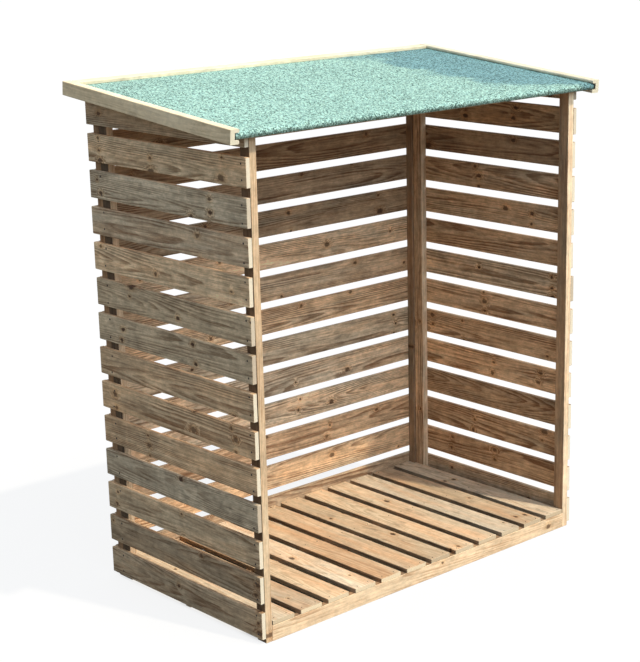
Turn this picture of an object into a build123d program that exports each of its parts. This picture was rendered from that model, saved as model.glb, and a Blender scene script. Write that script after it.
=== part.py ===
from build123d import *
from math import atan2, cos, sin
import os

# Lean-to log store: three slatted panels, a slatted floor and a felted roof.
# All sizes are in millimetres, +Z is up and the open front faces -Y.
# The origin is on the ground, under the middle of the whole outline.

# Overall size of the walls, over the outer faces of the slats
wall_width = 1220.0
wall_depth = 670.0

# Slats: one stock of board for the walls and the floor
slat_width = 75.0
slat_thickness = 13.0
slat_pitch = 98.5
wall_slats = 14
lowest_slat_height = 12.0
slat_arris = 1.2

# What is left of the top side slats at the front, where the roof cuts across them
top_slat_front_height = 28.0

# Battens: one stock for the side uprights and rafters, and a deeper one for the floor bearers
batten_width = 36.0
batten_thickness = 21.0
bearer_height = 44.0

# The back uprights are squarer, and show past the side uprights in front of them
back_upright_width = 28.0
back_upright_thickness = 25.0

# Floor
deck_slats = 12
deck_side_clearance = 1.5
notch_clearance = 2.0

# Roof panel: its rise over the depth of the walls, and its overhangs measured along the slope
roof_rise = 64.0
roof_side_overhang = 64.0
roof_front_overhang = 26.0
roof_rear_overhang = 5.0
board_thickness = 15.0
roof_boards = 14
board_joint = 1.0
felt_thickness = 2.5
felt_turndown = 16.0
felt_bend_radius = 9.0
rafter_inset = 170.0

# Grooved verge rails, seated over the edges of the felted boards
rail_width = 27.0
rail_web = 13.5
rail_lower_lip = 10.0
rail_upper_lip = 9.0
rail_arris = 2.0
rail_lip_round = 3.5
groove_side_clearance = 0.5
groove_top_clearance = 0.5
felt_setback = 2.0

# Strip that holds the felt down along the back
trim_width = 30.0
trim_end_clearance = 0.5

os.makedirs("parts", exist_ok=True)

# The roof rests on the uprights and on the cut part of the top side slats, and clears the back slats
front_clear_height = lowest_slat_height + (wall_slats - 1) * slat_pitch + top_slat_front_height
slope = atan2(roof_rise, wall_depth)

# The roof along its slope, counted from the front of the walls
groove_height = board_thickness + felt_thickness + groove_top_clearance
rail_top = groove_height + rail_upper_lip
front_end = -roof_front_overhang
rear_end = wall_depth / cos(slope) + roof_rear_overhang
slope_length = rear_end - front_end

# Front to back, the origin is half way between the foremost and rearmost rail corners
foremost = front_end * cos(slope) - rail_top * sin(slope)
rearmost = rear_end * cos(slope) + rail_lower_lip * sin(slope)
front_y = -(foremost + rearmost) / 2
rear_y = front_y + wall_depth
wall_mid_y = front_y + wall_depth / 2
half_width = wall_width / 2
inner_x = half_width - slat_thickness
back_face_y = rear_y - slat_thickness
back_upright_face_y = back_face_y - back_upright_thickness
side_rear_batten_y = back_upright_face_y - batten_width / 2
side_front_batten_y = front_y + batten_width / 2
tall = front_clear_height + roof_rise + slat_width
deck_underside = bearer_height

# The roof plane is the underside of the boards, its local Y runs up the slope
roof_plane = Plane(
    origin=(0, front_y, front_clear_height),
    x_dir=(1, 0, 0),
    z_dir=(0, -sin(slope), cos(slope)),
)
half_roof = half_width + roof_side_overhang
half_boards = half_roof - rail_web - groove_side_clearance
half_between_rails = half_roof - rail_width


def save(piece, label):
    """Label a finished piece and write it under its own name."""
    piece.part.label = label
    export_step(piece.part, f"parts/{label}.step")


# Side panels: slats laid level, with the top one cut to the slope of the roof
slat_heights = [lowest_slat_height + slat_width / 2 + i * slat_pitch for i in range(wall_slats)]


def wall_slat_set(length, plane, centre):
    """One wall's slats, drawn as end sections and run out along the wall."""
    with BuildPart() as slats:
        with BuildSketch(plane):
            with Locations([(centre, height) for height in slat_heights]):
                Rectangle(slat_thickness, slat_width)
        extrude(amount=length / 2, both=True)
        long_edges = slats.edges().filter_by(lambda edge: abs(edge.length - length) < slat_arris)
        chamfer(long_edges, slat_arris)
        split(bisect_by=roof_plane, keep=Keep.BOTTOM)
    return slats


side_section = Plane.XZ.offset(-wall_mid_y)
side_slat_x = half_width - slat_thickness / 2
for side, name in ((-1, "left"), (1, "right")):
    slats = wall_slat_set(wall_depth, side_section, side * side_slat_x)
    save(slats, f"{name}_slats")

# Side uprights stand inside the slats, their tops cut to the slope
for side, name in ((-1, "left"), (1, "right")):
    for batten_y, place in ((side_front_batten_y, "front"), (side_rear_batten_y, "rear")):
        with BuildPart() as upright:
            with BuildSketch():
                with Locations((side * (inner_x - batten_thickness / 2), batten_y)):
                    Rectangle(batten_thickness, batten_width)
            extrude(amount=tall)
            split(bisect_by=roof_plane, keep=Keep.BOTTOM)
        save(upright, f"{name}_{place}_upright")

# Back panel: slats between the side panels, nailed to the backs of two uprights
back_slats = wall_slat_set(2 * inner_x, Plane.YZ, back_face_y + slat_thickness / 2)
save(back_slats, "back_slats")

back_upright_x = inner_x - back_upright_width / 2
back_upright_y = back_face_y - back_upright_thickness / 2
for side, name in ((-1, "left"), (1, "right")):
    with BuildPart() as upright:
        with BuildSketch():
            with Locations((side * back_upright_x, back_upright_y)):
                Rectangle(back_upright_width, back_upright_thickness)
        extrude(amount=tall)
        split(bisect_by=roof_plane, keep=Keep.BOTTOM)
    save(upright, f"back_{name}_upright")

# Floor bearers, on edge: the front one between the front uprights, the middle one
# between the side slats and the rear one between the back uprights
bearers = (
    ("front", front_y + batten_thickness / 2, inner_x - batten_thickness),
    ("middle", wall_mid_y, inner_x),
    ("rear", back_face_y - batten_thickness / 2, inner_x - back_upright_width),
)
for place, bearer_y, half_length in bearers:
    with BuildPart() as bearer:
        with BuildSketch():
            with Locations((0, bearer_y)):
                Rectangle(2 * half_length, batten_thickness)
        extrude(amount=deck_underside)
    save(bearer, f"{place}_bearer")

# Floor slats run from front to back, the outer two notched round the back uprights
deck_length = wall_depth - slat_thickness
deck_half = inner_x - batten_thickness - deck_side_clearance
deck_pitch = (2 * deck_half - slat_width) / (deck_slats - 1)
notch_x = inner_x - back_upright_width - notch_clearance
notch_y = back_upright_face_y - notch_clearance
for index in range(deck_slats):
    slat_x = (index - (deck_slats - 1) / 2) * deck_pitch
    with BuildPart() as deck_slat:
        with BuildSketch(Plane.XZ.offset(-front_y)):
            with Locations((slat_x, deck_underside + slat_thickness / 2)):
                Rectangle(slat_width, slat_thickness)
        extrude(amount=-deck_length)
        chamfer(deck_slat.edges().filter_by(Axis.Y), slat_arris)
        with Locations((-half_width, rear_y, deck_underside), (half_width, rear_y, deck_underside)):
            Box(
                2 * (half_width - notch_x),
                2 * (rear_y - notch_y),
                2 * slat_width,
                mode=Mode.SUBTRACT,
            )
    save(deck_slat, f"deck_slat_{index + 1:02d}")

# Roof boards run up the slope, side by side with a hairline joint
board_pitch = (2 * half_boards + board_joint) / roof_boards
board_length = slope_length - 2 * felt_setback - 2 * felt_thickness
board_mid = (front_end + rear_end) / 2
with BuildPart() as boards:
    with BuildSketch(roof_plane):
        with Locations((0, board_mid)):
            with GridLocations(board_pitch, 1, roof_boards, 1):
                Rectangle(board_pitch - board_joint, board_length)
    extrude(amount=board_thickness)
    tops = boards.faces().filter_by(roof_plane).filter_by(lambda face: face.normal_at().Z > 0)
    fillet(tops.edges().filter_by(Axis.X), felt_bend_radius - felt_thickness)
save(boards, "roof_boards")

# Rafters lie flat under the boards, between the top slats of the side panels
for place, rafter_y in (("front", rafter_inset), ("rear", wall_depth - rafter_inset)):
    with BuildPart() as rafter:
        with BuildSketch(roof_plane):
            with Locations((0, rafter_y)):
                Rectangle(2 * inner_x, batten_width)
        extrude(amount=-batten_thickness)
    save(rafter, f"{place}_rafter")

# Felt: one sheet over the boards, turned down over their ends in a soft bend
felt_front = board_mid - board_length / 2 - felt_thickness
felt_rear = board_mid + board_length / 2 + felt_thickness
felt_top = board_thickness + felt_thickness
slope_section = Plane(
    origin=roof_plane.from_local_coords((0, 0, 0)),
    x_dir=roof_plane.y_dir,
    z_dir=(1, 0, 0),
)
with BuildPart() as felt:
    with BuildSketch(slope_section):
        with BuildLine():
            outer = FilletPolyline(
                (felt_front, felt_top - felt_turndown),
                (felt_front, felt_top),
                (felt_rear, felt_top),
                (felt_rear, felt_top - felt_turndown),
                radius=felt_bend_radius,
            )
            inner = FilletPolyline(
                (felt_front + felt_thickness, felt_top - felt_turndown),
                (felt_front + felt_thickness, board_thickness),
                (felt_rear - felt_thickness, board_thickness),
                (felt_rear - felt_thickness, felt_top - felt_turndown),
                radius=felt_bend_radius - felt_thickness,
            )
            Line(outer @ 0, inner @ 0)
            Line(outer @ 1, inner @ 1)
        make_face()
    extrude(amount=half_boards, both=True)
save(felt, "roof_felt")

# Verge rails: a grooved section run up the slope along each side of the roof
rail_section = Plane(
    origin=roof_plane.from_local_coords((0, front_end, 0)),
    x_dir=(1, 0, 0),
    z_dir=-roof_plane.y_dir,
)
rail_height = rail_lower_lip + rail_top
for side, name in ((-1, "left"), (1, "right")):
    with BuildPart() as rail:
        with BuildSketch(rail_section) as section:
            with Locations((side * (half_roof - rail_width / 2), rail_height / 2 - rail_lower_lip)):
                Rectangle(rail_width, rail_height)
            with Locations((side * (half_between_rails + (rail_width - rail_web) / 2), groove_height / 2)):
                Rectangle(rail_width - rail_web, groove_height, mode=Mode.SUBTRACT)
            fillet(section.vertices().group_by(lambda corner: abs(corner.X))[0], rail_lip_round)
            fillet(section.vertices().group_by(lambda corner: abs(corner.X))[-1], rail_arris)
        extrude(amount=-slope_length)
    save(rail, f"{name}_verge_rail")

# Rear trim lies on the felt between the verge rails
with BuildPart() as trim:
    with BuildSketch(roof_plane.offset(felt_top)):
        with Locations((0, felt_rear - trim_width / 2)):
            Rectangle(2 * (half_between_rails - trim_end_clearance), trim_width)
    extrude(amount=rail_upper_lip)
save(trim, "rear_trim")
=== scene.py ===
# %% [markdown]
# A log store in Blender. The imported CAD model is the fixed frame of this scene: every board, rail and
# sheet of the store is taken from it, so nothing has to be fitted again by eye.
# This script adds what a drawing leaves out: grain, knots, worn edges, nails, roofing felt and light.

import math
import random

import bmesh
import bpy
from mathutils import Matrix, Vector, noise


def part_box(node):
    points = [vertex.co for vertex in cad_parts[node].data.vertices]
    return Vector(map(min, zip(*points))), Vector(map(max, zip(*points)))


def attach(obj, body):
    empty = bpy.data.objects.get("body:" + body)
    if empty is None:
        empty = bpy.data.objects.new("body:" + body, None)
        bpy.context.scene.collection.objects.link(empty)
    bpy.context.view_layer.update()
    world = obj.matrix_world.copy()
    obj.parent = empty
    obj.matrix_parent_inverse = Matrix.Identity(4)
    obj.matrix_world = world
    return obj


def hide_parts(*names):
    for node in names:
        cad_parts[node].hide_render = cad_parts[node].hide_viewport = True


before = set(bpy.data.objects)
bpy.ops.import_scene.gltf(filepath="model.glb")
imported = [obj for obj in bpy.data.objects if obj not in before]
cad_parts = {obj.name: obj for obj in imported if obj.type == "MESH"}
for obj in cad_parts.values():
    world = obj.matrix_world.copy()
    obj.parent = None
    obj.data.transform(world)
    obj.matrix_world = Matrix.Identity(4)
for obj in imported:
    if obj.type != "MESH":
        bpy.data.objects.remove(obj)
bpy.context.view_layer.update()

# %% [markdown]
# The roof slopes gently to the front, and several pieces lie along it.
# Its direction could be typed in again from the drawing, but then a change there would be missed here.
# The largest upward face of the felt already has that direction, so it is read from the frame.

# %% Directions in the store
along_x = Vector((1, 0, 0))
along_y = Vector((0, 1, 0))
along_z = Vector((0, 0, 1))
felt_faces = [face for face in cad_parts["roof_felt"].data.polygons if face.normal.z > 0]
roof_up = max(felt_faces, key=lambda face: face.area).normal.copy()
up_slope = roof_up.cross(along_x).normalized()
if up_slope.y < 0:
    up_slope.negate()
print("roof slope in degrees:", round(math.degrees(math.asin(up_slope.z)), 2))

# %% [markdown]
# A material is a small network of nodes, and a long network is hard to read when every link is a call.
# Here one class wraps a socket, so that Python's own signs build the nodes: a + b adds an Add node.
# Numbers use Math nodes. Colours and vectors use Vector Math, because a Math node would turn them grey.


# %% A socket that can be calculated with
class Wire:
    """One output of a node. Signs between wires, or a wire and a number, add the matching node."""

    def __init__(self, recipe, socket):
        self.recipe = recipe
        self.socket = socket

    def joined(self, operation, first, second):
        pair = (first, second)
        is_vector = any(isinstance(value, tuple) for value in pair) or any(
            value.socket.type in ("VECTOR", "RGBA") for value in pair if isinstance(value, Wire)
        )
        if not is_vector:
            made = self.recipe.node("ShaderNodeMath", {"operation": operation}, {0: first, 1: second})
            return made["Value"]
        first, second = [value if isinstance(value, (Wire, tuple)) else (value,) * 3 for value in pair]
        made = self.recipe.node("ShaderNodeVectorMath", {"operation": operation}, {0: first, 1: second})
        return made["Vector"]

    def __add__(self, other):
        return self.joined("ADD", self, other)

    def __radd__(self, other):
        return self.joined("ADD", other, self)

    def __sub__(self, other):
        return self.joined("SUBTRACT", self, other)

    def __rsub__(self, other):
        return self.joined("SUBTRACT", other, self)

    def __mul__(self, other):
        return self.joined("MULTIPLY", self, other)

    def __rmul__(self, other):
        return self.joined("MULTIPLY", other, self)

    def __truediv__(self, other):
        return self.joined("DIVIDE", self, other)

    def __rtruediv__(self, other):
        return self.joined("DIVIDE", other, self)

    def __pow__(self, other):
        return self.joined("POWER", self, other)

    def __rpow__(self, other):
        return self.joined("POWER", other, self)

    def fraction(self):
        return self.recipe.node("ShaderNodeMath", {"operation": "FRACT"}, {0: self})["Value"]

    def magnitude(self):
        return self.recipe.node("ShaderNodeMath", {"operation": "ABSOLUTE"}, {0: self})["Value"]

    def length(self):
        return self.recipe.node("ShaderNodeVectorMath", {"operation": "LENGTH"}, {0: self})["Value"]

    def toward(self, direction):
        sockets = {0: self, 1: direction}
        return self.recipe.node("ShaderNodeVectorMath", {"operation": "DOT_PRODUCT"}, sockets)["Value"]

    def parts(self):
        """The X, Y and Z of a vector, or the red, green and blue of a colour."""
        made = self.recipe.node("ShaderNodeSeparateXYZ", {}, {0: self})
        return made["X"], made["Y"], made["Z"]

    def between(self, low, high):
        """0 up to low, 1 from high, and a smooth ramp in between; it falls where low is above high."""
        settings = {"interpolation_type": "SMOOTHSTEP"}
        return self.recipe.node("ShaderNodeMapRange", settings, {0: self, 1: low, 2: high})["Result"]


# %% [markdown]
# Every finish below is written as a recipe, from the pattern to the shader.
# The nodes could be laid out by hand in the shader editor, but a recipe can be read, changed and used again.
# One method makes any node: its settings go in first, because they decide which sockets it has.


# %% A node tree that is written as a recipe
class Recipe:
    """The nodes of a material or of the world, with one method that makes any node."""

    def __init__(self, owner):
        owner.use_nodes = True
        self.owner = owner
        self.nodes = owner.node_tree.nodes
        self.links = owner.node_tree.links

    def set(self, socket, value):
        """Link a wire to a socket, or write a plain value on it."""
        if isinstance(value, Wire):
            self.links.new(value.socket, socket)
        elif isinstance(value, tuple) and socket.type == "RGBA":
            socket.default_value = (*value, 1)
        else:
            socket.default_value = value

    def node(self, kind, settings, sockets):
        """Add a node: its settings first, then its sockets by name or number. Returns its outputs."""
        made = self.nodes.new(kind)
        for name, value in settings.items():
            setattr(made, name, value)
        for name, value in sockets.items():
            self.set(made.inputs[name], value)
        return {output.name: Wire(self, output) for output in made.outputs if output.enabled}

    def stored(self, name):
        """The X, Y and Z of a vector that was written on the mesh under this name."""
        return self.node("ShaderNodeAttribute", {"attribute_name": name}, {})["Vector"].parts()

    def position(self):
        return self.node("ShaderNodeTexCoord", {}, {})["Object"]

    def vector(self, x, y, z):
        return self.node("ShaderNodeCombineXYZ", {}, {"X": x, "Y": y, "Z": z})["Vector"]

    def cloud(self, vector, scale, detail=2.0, roughness=0.5):
        """Soft noise from 0 to 1, with this many features to each unit of the vector."""
        sockets = {"Vector": vector, "Scale": scale, "Detail": detail, "Roughness": roughness}
        return self.node("ShaderNodeTexNoise", {}, sockets)["Fac"]

    def points(self, place, spread):
        """The nearest of some points about one unit apart on a line, and its three random numbers."""
        sockets = {"W": place, "Scale": 1.0, "Randomness": spread}
        made = self.node("ShaderNodeTexVoronoi", {"voronoi_dimensions": "1D"}, sockets)
        return made["W"], made["Color"].parts()

    def mix(self, first, second, factor):
        """The first colour where the factor is 0 and the second where it is 1."""
        sockets = {0: factor, 6: first, 7: second}
        return self.node("ShaderNodeMix", {"data_type": "RGBA"}, sockets)["Result"]

    def background(self, colour):
        return self.node("ShaderNodeBackground", {}, {"Color": colour, "Strength": 1.0})["Background"]

    def seen(self):
        """1 for what the camera sees itself, in gloss or through glass, and 0 for the light that falls."""
        path = self.node("ShaderNodeLightPath", {}, {})
        return path["Is Camera Ray"] + path["Is Glossy Ray"] + path["Is Transmission Ray"]

    def finish(self, colour, roughness, height, bump, depth):
        """Join the recipe to its shader: colour, roughness and a bump of this depth in metres."""
        shader = self.nodes["Principled BSDF"]
        shader.inputs["Specular IOR Level"].default_value = DULL
        self.set(shader.inputs["Base Color"], colour)
        self.set(shader.inputs["Roughness"], roughness)
        sockets = {"Height": height, "Strength": bump, "Distance": depth}
        self.set(shader.inputs["Normal"], self.node("ShaderNodeBump", {}, sockets)["Normal"])
        print(self.owner.name, "has", len(self.nodes), "nodes")
        return self.owner


DULL = 0.25
UNCHANGED = (1.0, 1.0, 1.0)


def linear(red, green, blue):
    """A colour as it is seen on a screen, from 0 to 255, turned into the light that it stands for."""
    parts = [value / 255 for value in (red, green, blue)]
    return tuple(part / 12.92 if part <= 0.04045 else ((part + 0.055) / 1.055) ** 2.4 for part in parts)


# %% [markdown]
# Sawn softwood is a solid pattern: growth rings round a pith, and knots where branches left the trunk.
# A flat picture of grain would stretch on the edges and show no rings on the ends of a board.
# So each board carries its own coordinates, along the grain and across it, measured from the pith,
# and the material works out the figure from them. The grain then meets at every corner, as in real timber.


# %% Coordinates along the grain
def stretched(recipe, grain, pattern):
    """Coordinates for a pattern of this length along the grain and this width across it, in metres."""
    along, across, through = grain
    length, width = pattern
    return recipe.vector(along / length, across / width, through / width)


# %% [markdown]
# Pine grows a ring of branches once a year, so its knots come in short rows across a board, not one by one.
# Knots could be placed by hand, but on fifty boards chance does it better: one row of points along the trunk
# says where the rings of branches are, and a second row round the trunk says which branches met the saw.
# Each knot gets a dark core, a ring of warmer wood, and a smear where the saw tore across its fibres.

# %% Knots
WHORL_EVERY = 0.25
WHORL_SPREAD = 0.8
KNOT_ACROSS = 0.030
KNOT_SPREAD = 0.7
KNOT_SHARE = 0.42
KNOT_SMALLEST = 0.0036
KNOT_GROWTH = 0.0075
KNOT_STAGGER = 0.024
NEXT_WHORL = 53.0
WOBBLES_TO_METRE = 150.0
CROWDING, SPARSEST = 1.1, 0.35
SMEAR_REACH = 0.012


def knots_in(recipe, position, grain, share):
    """The core of each knot, how dark the core is, the warm ring round it, and its smear."""
    along, across, _ = grain
    up_trunk = along / WHORL_EVERY
    whorl, (start, crowd, _) = recipe.points(up_trunk, WHORL_SPREAD)
    round_trunk = across / KNOT_ACROSS + start * NEXT_WHORL
    branch, (chance, girth, aside) = recipe.points(round_trunk, KNOT_SPREAD)
    stagger = (aside - 0.5) * KNOT_STAGGER
    beside = ((up_trunk - whorl) * WHORL_EVERY + stagger) / (aside * 0.5 + 1.15)
    above = (round_trunk - branch) * KNOT_ACROSS
    wobble = recipe.cloud(position, WOBBLES_TO_METRE, 2.0) - 0.5
    away = recipe.vector(beside, above, 0.0).length() * (wobble * 1.3 + 1.0)
    near = away / (girth * girth * KNOT_GROWTH + KNOT_SMALLEST)
    here = ((crowd * CROWDING + SPARSEST) * KNOT_SHARE * share - chance).between(0.0, 0.02)
    smear = recipe.vector(beside, above * 0.45, 0.0).length() * (wobble * 0.8 + 1.0)
    core = near.between(1.25, 0.6) * here
    ring = near.between(2.8, 1.0) * here
    return core, near.between(1.3, 0.4), ring, smear.between(SMEAR_REACH, 0.002) * here


# %% [markdown]
# A growth ring is pale where it grew in spring and dark where it grew in summer, and each winter ends one.
# A wave with equal flanks would look like stripes on cloth, so the fraction of the radius makes a saw tooth.
# The pith wanders along the board, which turns straight lines into the pointed arches of a flat-sawn face.

# %% Growth rings
RING = 0.0048
PITH_SWAY = 0.03
PITH_WANDER = 0.045
WANDERS_TO_METRE, SWAYS_TO_METRE = 1.3, 1.1
ELSEWHERE = (7.0, 3.0)
RIPPLE_RINGS = 0.9
RIPPLE = (0.16, 0.014)
GROWTH = (0.3, 0.03)


def rings_in(recipe, grain, pushed):
    """The dark summer wood of each ring. Knots push the rings aside."""
    along, across, through = grain
    wander = recipe.cloud(recipe.vector(along * WANDERS_TO_METRE, 0.0, 0.0), 1.0, 1.0) - 0.5
    sway = recipe.cloud(recipe.vector(along * SWAYS_TO_METRE, *ELSEWHERE), 1.0, 1.0) - 0.5
    to_pith = recipe.vector(0.0, across + sway * PITH_SWAY, through + wander * PITH_WANDER)
    ripple = recipe.cloud(stretched(recipe, grain, RIPPLE), 1.0, 2.0) - 0.5
    phase = (to_pith.length() / RING + ripple * RIPPLE_RINGS + pushed).fraction()
    summer = phase.between(0.1, 0.8) * phase.between(1.0, 0.88)
    return summer * recipe.cloud(stretched(recipe, grain, GROWTH), 1.0, 2.0).between(0.3, 0.65)


# %% [markdown]
# Over the rings lie finer marks: fibres, streaks of resin, and the grime and grey of a few wet seasons.
# One even brown would look like plastic, and one noise over everything like marble, so each mark has its
# own length and width. The wood then shifts between a fresh and a worn pair of colours, more so outdoors.

# %% Timber
FIBRE = (0.06, 0.0032)
STREAK = (0.28, 0.0085)
BAND = (0.6, 0.035)
MOTTLE = (0.022, 0.012)
GRIME = (0.07, 0.03)
WEATHER = (0.3, 0.04)
PATCHES_TO_METRE = 13.0
RING_WEIGHT, FIBRE_WEIGHT, STREAK_WEIGHT = 0.7, 1.4, 1.5
EVEN_FIGURE = 1.66
MIDDLE_TONE = 0.43
GRIME_WEIGHT = 0.4
GRAIN_BUMP, GRAIN_DEPTH = 0.5, 0.0009
OUTDOOR_CALM = 0.15
PATCHY, MOTTLED, BANDED = 0.85, 0.85, 0.45
COOL_WOOD, WARM_WOOD = (0.97, 1.02, 1.06), (1.05, 0.985, 0.89)
RESIN, TORN_WOOD = (0.90, 0.82, 0.75), (1.12, 1.10, 1.05)
KNOT_EDGE, KNOT_HEART = linear(104, 72, 50), linear(62, 42, 30)


def timber(
    name, fresh, fresh_dark, worn, worn_dark, end_grain, greyed, contrast=1.0, shade=0.5, knots=1.0, outward_shade=0.0
):
    """Sawn softwood: fresh and worn pairs of colours, its ends, how grey it is indoors and outdoors, and
    painted shade on outdoor faces.
    """
    recipe = Recipe(bpy.data.materials.new(name))
    grain = recipe.stored("grain")
    tone, redness, wear = recipe.stored("tone")
    outdoor, end, _ = recipe.stored("face")
    position = recipe.vector(*grain)

    def pattern(size, detail, roughness):
        return recipe.cloud(stretched(recipe, grain, size), 1.0, detail, roughness)

    core, heart, resin, smear = knots_in(recipe, position, grain, knots)
    summer = rings_in(recipe, grain, resin * 1.1 + smear * 0.5)
    fibre, streak = pattern(FIBRE, 3.0, 0.7), pattern(STREAK, 4.0, 0.7)
    figure = summer * RING_WEIGHT + fibre * FIBRE_WEIGHT + streak * STREAK_WEIGHT - EVEN_FIGURE
    lines = figure * (1.0 - outdoor * OUTDOOR_CALM) * contrast + MIDDLE_TONE

    indoor_grey, outdoor_grey = greyed
    drift = (pattern(WEATHER, 3.0, 0.6) - 0.5) * (1.6 - outdoor * 0.6) + (wear - 0.5) * 0.5
    grey = (outdoor * (outdoor_grey - indoor_grey) + indoor_grey + drift).between(0.15, 0.85)
    wood = recipe.mix(recipe.mix(fresh, fresh_dark, lines), recipe.mix(worn, worn_dark, lines), grey)
    wood = wood * recipe.mix(COOL_WOOD, WARM_WOOD, redness) * (tone * shade + 1.0 - shade / 2)
    patches = recipe.cloud(position, PATCHES_TO_METRE, 4.0, 0.65)
    wood = wood * ((patches - 0.5) * (contrast * PATCHY) + 1.0)
    wood = wood * ((pattern(MOTTLE, 3.0, 0.75) - 0.5) * (contrast * MOTTLED) + 1.0)
    wood = wood * ((pattern(BAND, 2.0, 0.5) - 0.5) * (contrast * BANDED) + 1.0)
    grime = pattern(GRIME, 3.0, 0.6).between(0.55, 0.72) * wear * GRIME_WEIGHT
    # The last factor is painted shade on outdoor faces, used for the frame faces that stand behind the slats.
    wood = wood * (1.0 - grime) * (1.0 - outdoor * outward_shade)

    wood = wood * recipe.mix(UNCHANGED, TORN_WOOD, smear) * recipe.mix(UNCHANGED, RESIN, resin)
    wood = recipe.mix(wood, recipe.mix(KNOT_EDGE, KNOT_HEART, heart), core * (wear * 0.25 + 0.7))
    ends = recipe.mix(end_grain, fresh_dark, wear.between(0.45, 1.0) * 0.45) * (fibre * 0.4 + 0.78)
    wood = recipe.mix(wood, ends, end * 0.96)
    height = summer * 0.4 + fibre * 0.8 + streak * 0.6 - core * 0.3
    return recipe.finish(wood, fibre * 0.2 + 0.74, height, GRAIN_BUMP, GRAIN_DEPTH)


# %% [markdown]
# The store is built from one kind of wood, but its boards have not aged alike.
# One finish for all would be simplest. Five are made here, since rain greys the walls, feet and logs keep the
# floor bright, the frame is painted darker as shade, its front faces are painted paler as sunlight, and the
# roof trim is planed.

# %% The five finishes
wall_timber = timber(
    "wall_timber",
    fresh=linear(228, 190, 148),
    fresh_dark=linear(146, 105, 72),
    worn=linear(208, 186, 155),
    worn_dark=linear(134, 110, 84),
    end_grain=linear(250, 230, 196),
    greyed=(0.45, 0.7),
    contrast=1.2,
    shade=0.7,
)
deck_timber = timber(
    "deck_timber",
    fresh=linear(236, 196, 154),
    fresh_dark=linear(192, 142, 101),
    worn=linear(232, 210, 178),
    worn_dark=linear(184, 156, 122),
    end_grain=linear(232, 198, 150),
    greyed=(0.5, 0.5),
    contrast=0.65,
    shade=0.4,
    knots=0.6,
)
# A darker finish: painted shade for the side faces of the frame, the back uprights, the rafters under the
# roof and the sides of the floor slats.
frame_timber = timber(
    "frame_timber",
    fresh=linear(194, 157, 120),
    fresh_dark=linear(122, 88, 61),
    worn=linear(172, 153, 126),
    worn_dark=linear(100, 84, 67),
    end_grain=linear(250, 220, 176),
    greyed=(0.55, 0.4),
    contrast=0.8,
    shade=0.3,
    knots=0.4,
    outward_shade=0.6,
)
# A paler finish: painted sunlight on the faces towards the open front.
face_timber = timber(
    "face_timber",
    fresh=linear(255, 226, 186),
    fresh_dark=linear(200, 152, 110),
    worn=linear(242, 220, 185),
    worn_dark=linear(150, 124, 95),
    end_grain=linear(236, 204, 158),
    greyed=(0.25, 0.25),
    contrast=0.8,
    shade=0.35,
    knots=0.4,
)
trim_timber = timber(
    "trim_timber",
    fresh=linear(246, 231, 202),
    fresh_dark=linear(222, 196, 154),
    worn=linear(232, 212, 178),
    worn_dark=linear(182, 160, 126),
    end_grain=linear(250, 232, 196),
    greyed=(0.1, 0.8),
    contrast=0.6,
    shade=0.3,
    knots=0.0,
)

# %% [markdown]
# Every board in the frame is an exact, sharp-cornered solid, the way that it was drawn.
# It could be shown as it is, but sawn boards have eased edges, a little bow and ends that don't line up.
# So each one is copied, rounded a little and cut into short lengths, which lets it bend along its grain.

# %% Cut the boards
WELD = 1e-5
SAME_FACE = math.radians(1)
SHARP_CORNER = math.radians(60)
CUT_LENGTH = 0.09
ARRIS = 0.0009


def cut_boards(nodes, along, eased):
    """The solids of some CAD nodes in one mesh, cut into short lengths along the grain."""
    mesh = bmesh.new()
    for node in nodes:
        mesh.from_mesh(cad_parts[node].data)
    bmesh.ops.remove_doubles(mesh, verts=mesh.verts, dist=WELD)
    bmesh.ops.dissolve_limit(mesh, angle_limit=SAME_FACE, verts=mesh.verts, edges=mesh.edges)
    if eased:
        sharp = [edge for edge in mesh.edges if edge.calc_face_angle(0) > SHARP_CORNER]
        bmesh.ops.bevel(mesh, geom=sharp, offset=ARRIS, segments=1, affect="EDGES", clamp_overlap=True)
    places = [vertex.co.dot(along) for vertex in mesh.verts]
    low, high = min(places), max(places)
    cuts = int((high - low) / CUT_LENGTH)
    for cut in range(1, cuts):
        everything = mesh.verts[:] + mesh.edges[:] + mesh.faces[:]
        middle_of_cut = along * (low + cut * (high - low) / cuts)
        bmesh.ops.bisect_plane(mesh, geom=everything, plane_co=middle_of_cut, plane_no=along)
    mesh.verts.index_update()
    mesh.normal_update()
    return mesh


def islands(mesh):
    """The separate solids of a mesh, as lists of their vertices."""
    left = set(mesh.verts)
    found = []
    while left:
        first = min(left, key=lambda vertex: vertex.index)
        group, reached = {first}, [first]
        while reached:
            vertex = reached.pop()
            for edge in vertex.link_edges:
                other = edge.other_vert(vertex)
                if other not in group:
                    group.add(other)
                    reached.append(other)
        left -= group
        found.append(sorted(group, key=lambda vertex: vertex.index))
    return found


# %% [markdown]
# The material needs to know which faces see the weather and which are sawn ends.
# It could test the direction of a face itself, but then a board would change its colour when the store is
# turned. Written on the faces once, the marks stay with the board.

# %% Mark the faces
FACING = 0.5
END_FACING = 0.75


def mark_faces(mesh, along, outward, front):
    """Write on each face whether it is outdoors or an end, and give the front ones the second finish."""
    kind = mesh.faces.layers.float_vector.new("face")
    for face in mesh.faces:
        outdoors = outward is not None and face.normal.dot(outward) > FACING
        face[kind] = (float(outdoors), float(abs(face.normal.dot(along)) > END_FACING), 0.0)
        face.material_index = int(front is not None and face.normal.dot(front) > FACING)
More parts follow.
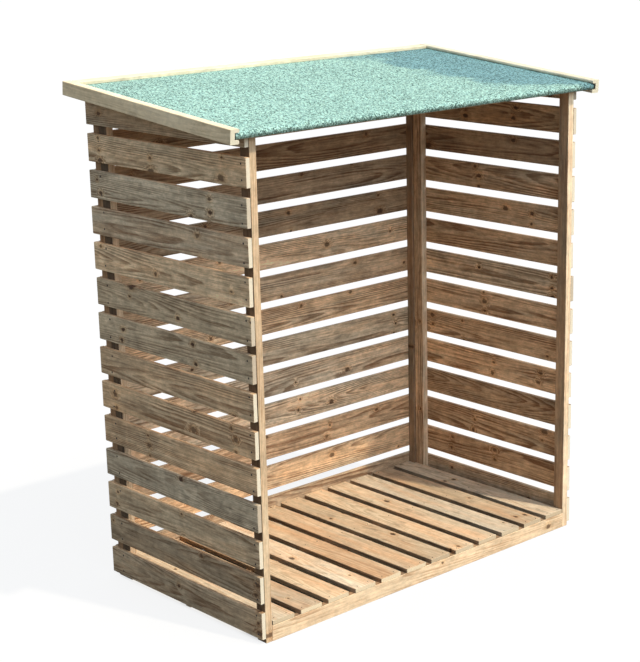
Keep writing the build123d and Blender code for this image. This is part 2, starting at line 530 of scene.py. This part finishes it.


# %% [markdown]
# No two boards of a store look alike, and none is quite straight.
# Each could be given its look by hand. Chance is quicker, and a seed keeps the same chance in every run:
# the seeds below were found so that each board comes out about as light, dark and warm as it was measured,
# which paints some shade too: the back wall's top slats under the roof, the right wall's low slats, the back
# right upright in its corner and the right verge rail in a cool shadow come out darker or cooler.

# %% Lay the boards
SEEDS = {
    "left_wall_slats": 81823,
    "right_wall_slats": 353124,
    "back_wall_slats": 107197,
    "deck_slats_timber": 3043434,
    "left_front_upright_timber": 1324,
    "right_front_upright_timber": 515,
    "right_rear_upright_timber": 308,
    "back_right_upright_timber": 1494,
    "front_bearer_timber": 425,
    "left_verge_rail_timber": 778,
    "right_verge_rail_timber": 52,
    "rear_trim_timber": 356,
}
TRUNK_LENGTH = 40
NEXT_BOARD = 3
PITH_ASIDE = 0.035
PITH_DEPTH = (0.012, 0.07)
GRAIN_LEAN = 0.05
BOW = 0.0008
BOW_TO_METRE = 2.1
NEXT_BOW = 1.7
OTHER_BEND = Vector((0, 9, 4))
TILT, SHORTEST_HALF = 0.35, 0.2
AT_END = 0.98


def lay_boards(mesh, name, along, across, uneven):
    """Write each board's grain and look on it, and lay it a little out of true."""
    through = along.cross(across)
    grain = mesh.verts.layers.float_vector.new("grain")
    tone = mesh.verts.layers.float_vector.new("tone")
    chance = random.Random(SEEDS.get(name, name))
    order = sorted(islands(mesh), key=lambda board: sum(v.co.dot(across) for v in board) / len(board))
    for number, board in enumerate(order):
        centre = sum((vertex.co for vertex in board), Vector()) / len(board)
        half = max(abs((vertex.co - centre).dot(along)) for vertex in board)
        pith = Vector((
            chance.uniform(0, TRUNK_LENGTH) + NEXT_BOARD * number,
            chance.uniform(-PITH_ASIDE, PITH_ASIDE),
            chance.choice((-1, 1)) * chance.uniform(*PITH_DEPTH),
        ))
        look = Vector((chance.random(), chance.random(), chance.random()))
        lean = chance.uniform(-GRAIN_LEAN, GRAIN_LEAN)
        shift = along * chance.uniform(-uneven, uneven) * 0.5
        turn = Matrix.Rotation(chance.uniform(-1, 1) * uneven * TILT / max(half, SHORTEST_HALF), 3, through)
        short = chance.uniform(0, uneven), chance.uniform(0, uneven)
        for vertex in board:
            local = vertex.co - centre
            place = local.dot(along)
            depth = local.dot(through) + place * lean
            vertex[grain] = pith + Vector((place, local.dot(across), depth))
            vertex[tone] = look
            spot = Vector((place * BOW_TO_METRE + pith.x, number * NEXT_BOW, 0.0))
            bend = across * noise.noise(spot) + through * noise.noise(spot + OTHER_BEND)
            trim = short[0] if place < -half * AT_END else -short[1] if place > half * AT_END else 0.0
            vertex.co = centre + turn @ local + shift + along * trim + bend * BOW


# %% [markdown]
# A piece has to ride with the store, and the CAD nodes that it stands in for have to be hidden.
# Without that, the plain solid would show through the dressed board. One function does it for all timber.


# %% From CAD nodes to timber
def add_object(name, mesh, finishes):
    """Turn an edited mesh into an object with these finishes."""
    data = bpy.data.meshes.new(name)
    mesh.to_mesh(data)
    mesh.free()
    for finish in finishes:
        data.materials.append(finish)
    made = bpy.data.objects.new(name, data)
    bpy.context.scene.collection.objects.link(made)
    return made


def sawn(nodes, name, finishes, along, across, outward=None, front=None, uneven=0.0, eased=True):
    """Dress CAD nodes as sawn boards: the grain runs along, the wide face across, outward faces weather."""
    mesh = cut_boards(nodes, along, eased)
    mark_faces(mesh, along, outward, front)
    lay_boards(mesh, name, along, across, uneven)
    piece = add_object(name, mesh, finishes)
    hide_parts(*nodes)
    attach(piece, "root")
    print(name, "has", len(piece.data.polygons), "faces")


# %% [markdown]
# The walls: fourteen level slats to a side, nailed to the outsides of the uprights.
# Rain and light turn only the outer faces grey, so each wall says which way is outward.
# The slats stop a few millimetres short of each other, as they do when they are nailed up by hand.

# %% Walls
WALL_UNEVEN = 0.003
walls = (("left", along_y, -along_x), ("right", along_y, along_x), ("back", along_x, along_y))
for side, along, outward in walls:
    name = f"{side}_wall_slats"
    sawn([f"{side}_slats"], name, [wall_timber], along, along_z, outward, uneven=WALL_UNEVEN)

# %% [markdown]
# The frame: four side uprights, two back ones, three bearers under the floor and two rafters under the roof.
# Their faces towards the open front get the paler finish as painted sunlight, and their other faces the
# darker one as painted shade.
# The faces behind the slats are painted darker still, as the shade in those recesses, which shows in the gaps
# between the slats.
# The right rear upright has the lighter wall finish on its sides, which stands out in the corner of the bay.

# %% Frame
shaded_sides_sunlit_front = [frame_timber, face_timber]
wall_sides_sunlit_front = [wall_timber, face_timber]
for side, outward in (("left", -along_x), ("right", along_x)):
    for place, finishes in (("front", shaded_sides_sunlit_front), ("rear", shaded_sides_sunlit_front if side == "left" else wall_sides_sunlit_front)):
        node = f"{side}_{place}_upright"
        sawn([node], f"{node}_timber", finishes, along_z, along_y, outward, front=-along_y)
    node = f"back_{side}_upright"
    sawn([node], f"{node}_timber", [frame_timber], along_z, along_x)
for node in ("front_bearer", "middle_bearer", "rear_bearer"):
    sawn([node], f"{node}_timber", shaded_sides_sunlit_front, along_x, along_z, front=-along_y)
for node in ("front_rafter", "rear_rafter"):
    sawn([node], f"{node}_timber", [frame_timber], along_x, up_slope)

# %% [markdown]
# The floor: twelve slats from front to back, with gaps that let rain and bark through.
# They could be twelve pieces, but they share one finish, so one piece holds them all.
# Their tops get the floor finish and their sides the darker frame finish, a painted shade in the gaps, which
# makes the gaps read as deep.

# %% Floor
FLOOR_UNEVEN = 0.002
deck_nodes = sorted(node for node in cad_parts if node.startswith("deck_slat"))
name, shaded_sides_deck_top = "deck_slats_timber", [frame_timber, deck_timber]
sawn(deck_nodes, name, shaded_sides_deck_top, along_y, along_x, front=along_z, uneven=FLOOR_UNEVEN)

# %% [markdown]
# The roof timber: boards under the felt, a grooved rail over each side, and a strip along the back.
# The rails already have their rounded lips in the frame, so they keep their edges as drawn.

# %% Roof timber
sawn(["roof_boards"], "roof_board_timber", [wall_timber], up_slope, along_x)
for side, outward in (("left", -along_x), ("right", along_x)):
    node = f"{side}_verge_rail"
    sawn([node], f"{node}_timber", [trim_timber], up_slope, roof_up, outward, eased=False)
sawn(["rear_trim"], "rear_trim_timber", [trim_timber], along_x, up_slope)

# %% [markdown]
# Roofing felt is a bitumen sheet that is covered with crushed slate, here dyed green.
# Real grains would be millions of small solids, so a cell pattern gives each grain its own shade instead,
# and a bump lets them catch the light. The right rear of the felt carries a painted shadow in darker, bluer
# slate. The cut edges have lost their grains, and their darkening is partly painted shade of the rails'
# grooves and of the turned-under front.

# %% Felt
GRAIN_SIZE = (0.0026, 0.0042, 0.0026)
PALE_SLATE, DARK_SLATE = linear(196, 230, 209), linear(38, 74, 65)
YELLOW_TINT, BLUE_TINT = (1.04, 1.0, 0.97), (0.9, 0.99, 1.05)
# A painted shadow over the right rear of the felt, as if cast by something outside the store, in darker,
# bluer slate.
SHADOW_PATCH_SLATE = (0.52, 0.62, 0.74)
SHADOW_PATCH_FROM, SHADOW_PATCH_TO = 0.80, 0.90
GRIT_CURVE, GRIT_DEPTH = 1.3, 1.05
EDGE_TOP, EDGE_BOTTOM = 0.011, -0.003
FRONT_EDGE_BARE_AND_SHADED, BITUMEN_AND_GROOVE_SHADE = linear(54, 62, 44), linear(30, 28, 26)
BARE_AND_SHADED_EDGE = 0.005
felt = Recipe(bpy.data.materials.new("mineral_felt"))
place = felt.position()
x, y, z = place.parts()
squeezed = felt.vector(x / GRAIN_SIZE[0], y / GRAIN_SIZE[1], z / GRAIN_SIZE[2])
grit = felt.node("ShaderNodeTexVoronoi", {}, {"Vector": squeezed, "Scale": 1.0})
dark, tint, _ = grit["Color"].parts()
cloud = felt.cloud(place, 3.0, 3.0)
green = felt.mix(PALE_SLATE, DARK_SLATE, dark ** GRIT_CURVE * GRIT_DEPTH)
green = green * felt.mix(YELLOW_TINT, BLUE_TINT, tint) * (cloud * 0.24 + 0.88)

low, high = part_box("roof_felt")
width, depth = high.x - low.x, high.y - low.y
# The painted shadow has a ragged edge and runs from the rear towards the right front corner.
ragged = (cloud - 0.5) * 0.6 + (felt.cloud(place, 11.0, 2.0) - 0.5) * 0.2
to_right = (x - low.x) / width + ((y - low.y) / depth).between(0.0, 0.2) * 0.1
green = green * felt.mix(UNCHANGED, SHADOW_PATCH_SLATE, (to_right + ragged).between(SHADOW_PATCH_FROM, SHADOW_PATCH_TO))
# The lower front edge of the felt darkens: partly the bare edge of the sheet, partly painted shade where it
# turns under.
from_front = (y - low.y) * 0.4 + (z - low.z) - dark * 0.006
green = felt.mix(green, FRONT_EDGE_BARE_AND_SHADED, from_front.between(EDGE_TOP, EDGE_BOTTOM) * 0.85)
# The side edges turn to bitumen: partly the bare cut edge, partly painted shade of the recess in the rails'
# grooves.
bare_edge_and_groove_shade = (x - (low.x + high.x) / 2).magnitude().between(width / 2 - BARE_AND_SHADED_EDGE, width / 2 - BARE_AND_SHADED_EDGE * 0.7)
green = felt.mix(green, BITUMEN_AND_GROOVE_SHADE, bare_edge_and_groove_shade)
felt_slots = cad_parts["roof_felt"].data.materials
felt_slots.clear()
felt_slots.append(felt.finish(green, 0.9, dark, 0.6, 0.001))

# %% [markdown]
# Each slat is held by two nails at every upright or bearer, a fifth of its width in from its edges.
# A head is only a few millimetres across, so an eight-sided dome is enough, and all heads of a wall are one
# piece. Their places come from the slats and uprights in the frame, with a little of a builder's hurry.

# %% One nail head, many times
NAIL_RADIUS = 0.0029
DECK_NAIL_RADIUS = 0.0015
NAIL_HEIGHT = 0.0011
NAIL_SIDES = 8
RUST_SPOTS_TO_METRE = 240.0
NAIL_PROFILE = ((1.0, -0.6), (1.0, 0.25), (0.6, 0.85))
nail = Recipe(bpy.data.materials.new("nail_steel"))
rust = nail.cloud(nail.position(), RUST_SPOTS_TO_METRE, 3.0)
nail_steel = nail.finish(nail.mix(linear(70, 62, 54), linear(44, 32, 25), rust), 0.6, rust, 0.3, 0.0002)


def nails(name, places, outward, radius=NAIL_RADIUS):
    """One piece with a low domed nail head at each place, facing outward."""
    mesh = bmesh.new()
    turn = outward.to_track_quat("Z", "Y").to_matrix()
    angles = [math.tau * side / NAIL_SIDES for side in range(NAIL_SIDES)]
    for place in places:
        rings = []
        for share, rise in NAIL_PROFILE:
            flat = [Vector((math.cos(angle), math.sin(angle), 0)) * radius * share for angle in angles]
            lift = along_z * rise * NAIL_HEIGHT
            rings.append([mesh.verts.new(place + turn @ (spot + lift)) for spot in flat])
        top = mesh.verts.new(place + outward * NAIL_HEIGHT)
        for side in range(NAIL_SIDES):
            after = (side + 1) % NAIL_SIDES
            for lower, upper in zip(rings, rings[1:]):
                mesh.faces.new((lower[side], lower[after], upper[after], upper[side]))
            mesh.faces.new((rings[-1][side], rings[-1][after], top))
    for face in mesh.faces:
        face.smooth = True
    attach(add_object(name, mesh, [nail_steel]), "root")
    print(name, "has", len(places), "nails")


# %% Where slats and uprights are
def middle(node):
    low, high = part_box(node)
    return (low + high) / 2


def solid_boxes(node):
    """The low and high corners of each separate solid in a node, from the lowest up."""
    mesh = bmesh.new()
    mesh.from_mesh(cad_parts[node].data)
    bmesh.ops.remove_doubles(mesh, verts=mesh.verts, dist=WELD)
    boxes = []
    for solid in islands(mesh):
        corners = [[vertex.co[axis] for vertex in solid] for axis in range(3)]
        boxes.append((Vector(map(min, corners)), Vector(map(max, corners))))
    mesh.free()
    return sorted(boxes, key=lambda box: box[0].z)


# %% Nails
NAIL_FROM_EDGE = 0.2
NAIL_STRAY = 0.004
STRAY_UP, STRAY_ASIDE = 0.06, 0.05
chance = random.Random("nails")
for side, outward in (("left", -along_x), ("right", along_x), ("back", along_y)):
    if side == "back":
        posts = [middle("back_left_upright").x, middle("back_right_upright").x]
    else:
        posts = [middle(f"{side}_front_upright").y, middle(f"{side}_rear_upright").y]
    places = []
    for low, high in solid_boxes(f"{side}_slats")[:-1]:
        for post in posts:
            for share in (NAIL_FROM_EDGE, 1 - NAIL_FROM_EDGE):
                height = low.z + (high.z - low.z) * (share + chance.uniform(-STRAY_UP, STRAY_UP))
                beside = post + chance.uniform(-NAIL_STRAY, NAIL_STRAY)
                if side == "back":
                    places.append(Vector((beside, high.y, height)))
                else:
                    places.append(Vector((low.x if side == "left" else high.x, beside, height)))
    nails(f"{side}_wall_nails", places, outward)

places = []
for node in deck_nodes:
    low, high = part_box(node)
    for bearer in ("front_bearer", "middle_bearer", "rear_bearer"):
        for share in (NAIL_FROM_EDGE, 1 - NAIL_FROM_EDGE):
            across = low.x + (high.x - low.x) * (share + chance.uniform(-STRAY_ASIDE, STRAY_ASIDE))
            along = middle(bearer).y + chance.uniform(-NAIL_STRAY, NAIL_STRAY)
            places.append(Vector((across, along, high.z)))
nails("deck_nails", places, along_z, DECK_NAIL_RADIUS)

# %% [markdown]
# The camera stands about two metres up, in front of the left corner, and looks down a little.
# It could be aimed with a Track To constraint, but the picture is also turned a degree about its own axis.
# So its three directions are written as a matrix, and a small shift moves the store in the frame.

# %% Camera
CAMERA_PLACE = Vector((-2.5316, -3.1410, 1.8818))
CAMERA_FORWARD = Vector((0.64784, 0.71230, -0.27007))
CAMERA_RIGHT = Vector((0.73603, -0.67668, -0.01913))
FOCAL_PIXELS = 1691.5
PICTURE_WIDTH, PICTURE_HEIGHT = 640, 662
MIDDLE_ACROSS, MIDDLE_DOWN = 350.0, 364.0

wall_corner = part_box("left_slats")[0]
camera_up = CAMERA_RIGHT.cross(CAMERA_FORWARD)
lens = bpy.data.cameras.new("camera")
camera = bpy.data.objects.new("camera", lens)
bpy.context.scene.collection.objects.link(camera)
turned = Matrix((CAMERA_RIGHT, camera_up, -CAMERA_FORWARD)).transposed().to_4x4()
camera.matrix_world = Matrix.Translation(CAMERA_PLACE + Vector((wall_corner.x, wall_corner.y, 0))) @ turned
lens.lens = lens.sensor_width * FOCAL_PIXELS / PICTURE_HEIGHT
lens.shift_x = (PICTURE_WIDTH / 2 - MIDDLE_ACROSS) / PICTURE_HEIGHT
lens.shift_y = (MIDDLE_DOWN - PICTURE_HEIGHT / 2) / PICTURE_HEIGHT
bpy.context.scene.camera = camera
print("lens in mm:", round(lens.lens, 1))

# %% [markdown]
# Light: one lamp stands for a high sun in front of the store, and the world fills the shade.
# An even world would leave the inside flat. This one is brighter overhead and in front, so the back wall
# is dark under the roof and lighter lower down, where it sees more of the open sky.

# %% Sun
SUN_DIRECTION = Vector((-0.30, 1.0, -1.678))
SUN_STRENGTH = 0.8 * math.pi
SUN_WIDTH = math.radians(1.6)
SUN_COLOUR = (1.0, 0.93, 0.80)
lamp = bpy.data.lights.new("sun", "SUN")
lamp.energy = SUN_STRENGTH
lamp.angle = SUN_WIDTH
lamp.color = SUN_COLOUR
sun = bpy.data.objects.new("sun", lamp)
sun.rotation_mode = "QUATERNION"
sun.rotation_quaternion = SUN_DIRECTION.to_track_quat("-Z", "Y")
bpy.context.scene.collection.objects.link(sun)
print("sun height in degrees:", round(math.degrees(math.asin(-SUN_DIRECTION.normalized().z)), 1))

# %% Sky
SKY_COLOUR = (0.80, 0.96, 1.17)
GLOW_DIRECTION = (0.15, -0.92, 0.36)
OVERHEAD, GLOW, ALL_ROUND = 0.52, 1.9, 0.18
bpy.context.scene.world = bpy.data.worlds.new("sky")
sky = Recipe(bpy.context.scene.world)
direction = sky.node("ShaderNodeTexCoord", {}, {})["Generated"]
_, _, rise = direction.parts()
glow = direction.toward(GLOW_DIRECTION).between(0.65, 0.95) * rise.between(0.12, 0.32)
strength = rise.between(0.0, 0.5) * OVERHEAD + glow * GLOW + ALL_ROUND
sockets = {0: sky.seen(), 1: sky.background(SKY_COLOUR * strength), 2: sky.background(UNCHANGED)}
choice = sky.node("ShaderNodeMixShader", {}, sockets)["Shader"]
sky.set(sky.nodes["World Output"].inputs["Surface"], choice)
print("sky has", len(sky.nodes), "nodes")

# %% [markdown]
# The studio floor is white to the eye, yet a white floor would throw far too much light up into the store.
# So it is pale only to rays that are seen, and darker for the light that falls on it, as real ground is.
# A part of its ordinary shading stays in the mix, which keeps the shadow of the store on it. Under the store
# the white is left out and the floor is painted dark, as painted shade.

# %% Floor of the studio
FLOOR_REACH = 60.0
FLOOR_DROP = 0.0005
# The last of these colours is painted shade for the floor under the store, where the white is also left out.
SEEN_FLOOR, LIT_FLOOR, PAINTED_SHADE_UNDER_STORE = (0.84, 0.8, 0.74), (0.16, 0.16, 0.15), (0.05, 0.045, 0.03)
WHITE_SHARE = 0.86
SOFT_EDGE = 0.05
ground = Recipe(bpy.data.materials.new("studio_floor"))
x, y, _ = ground.position().parts()
low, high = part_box("left_slats")[0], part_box("right_slats")[1]
under = 1.0
for place, start, stop in ((x, low.x, high.x), (y, low.y, high.y)):
    under = place.between(start, start + SOFT_EDGE) * place.between(stop, stop - SOFT_EDGE) * under
seen = ground.seen()
shader = ground.nodes["Principled BSDF"]
pale = ground.mix(LIT_FLOOR, SEEN_FLOOR, seen)
ground.set(shader.inputs["Base Color"], ground.mix(pale, PAINTED_SHADE_UNDER_STORE, under))
shader.inputs["Roughness"].default_value = 1.0
shader.inputs["Specular IOR Level"].default_value = 0.0
white = ground.node("ShaderNodeEmission", {}, {"Color": UNCHANGED, "Strength": 1.0})["Emission"]
sockets = {0: seen * (1.0 - under) * WHITE_SHARE, 1: Wire(ground, shader.outputs["BSDF"]), 2: white}
blend = ground.node("ShaderNodeMixShader", {}, sockets)["Shader"]
ground.set(ground.nodes["Material Output"].inputs["Surface"], blend)

mesh = bmesh.new()
bmesh.ops.create_grid(mesh, x_segments=2, y_segments=2, size=FLOOR_REACH)
floor = add_object("studio_floor", mesh, [ground.owner])
floor.location.z = -FLOOR_DROP
print("the floor reaches", FLOOR_REACH, "metres each way")

# %% [markdown]
# Blender's default view softens bright colours, as film does.
# The plain view shows a colour as it is written, so a finish looks the same here as in another scene.

# %% Colours as written
bpy.context.scene.view_settings.view_transform = "Standard"
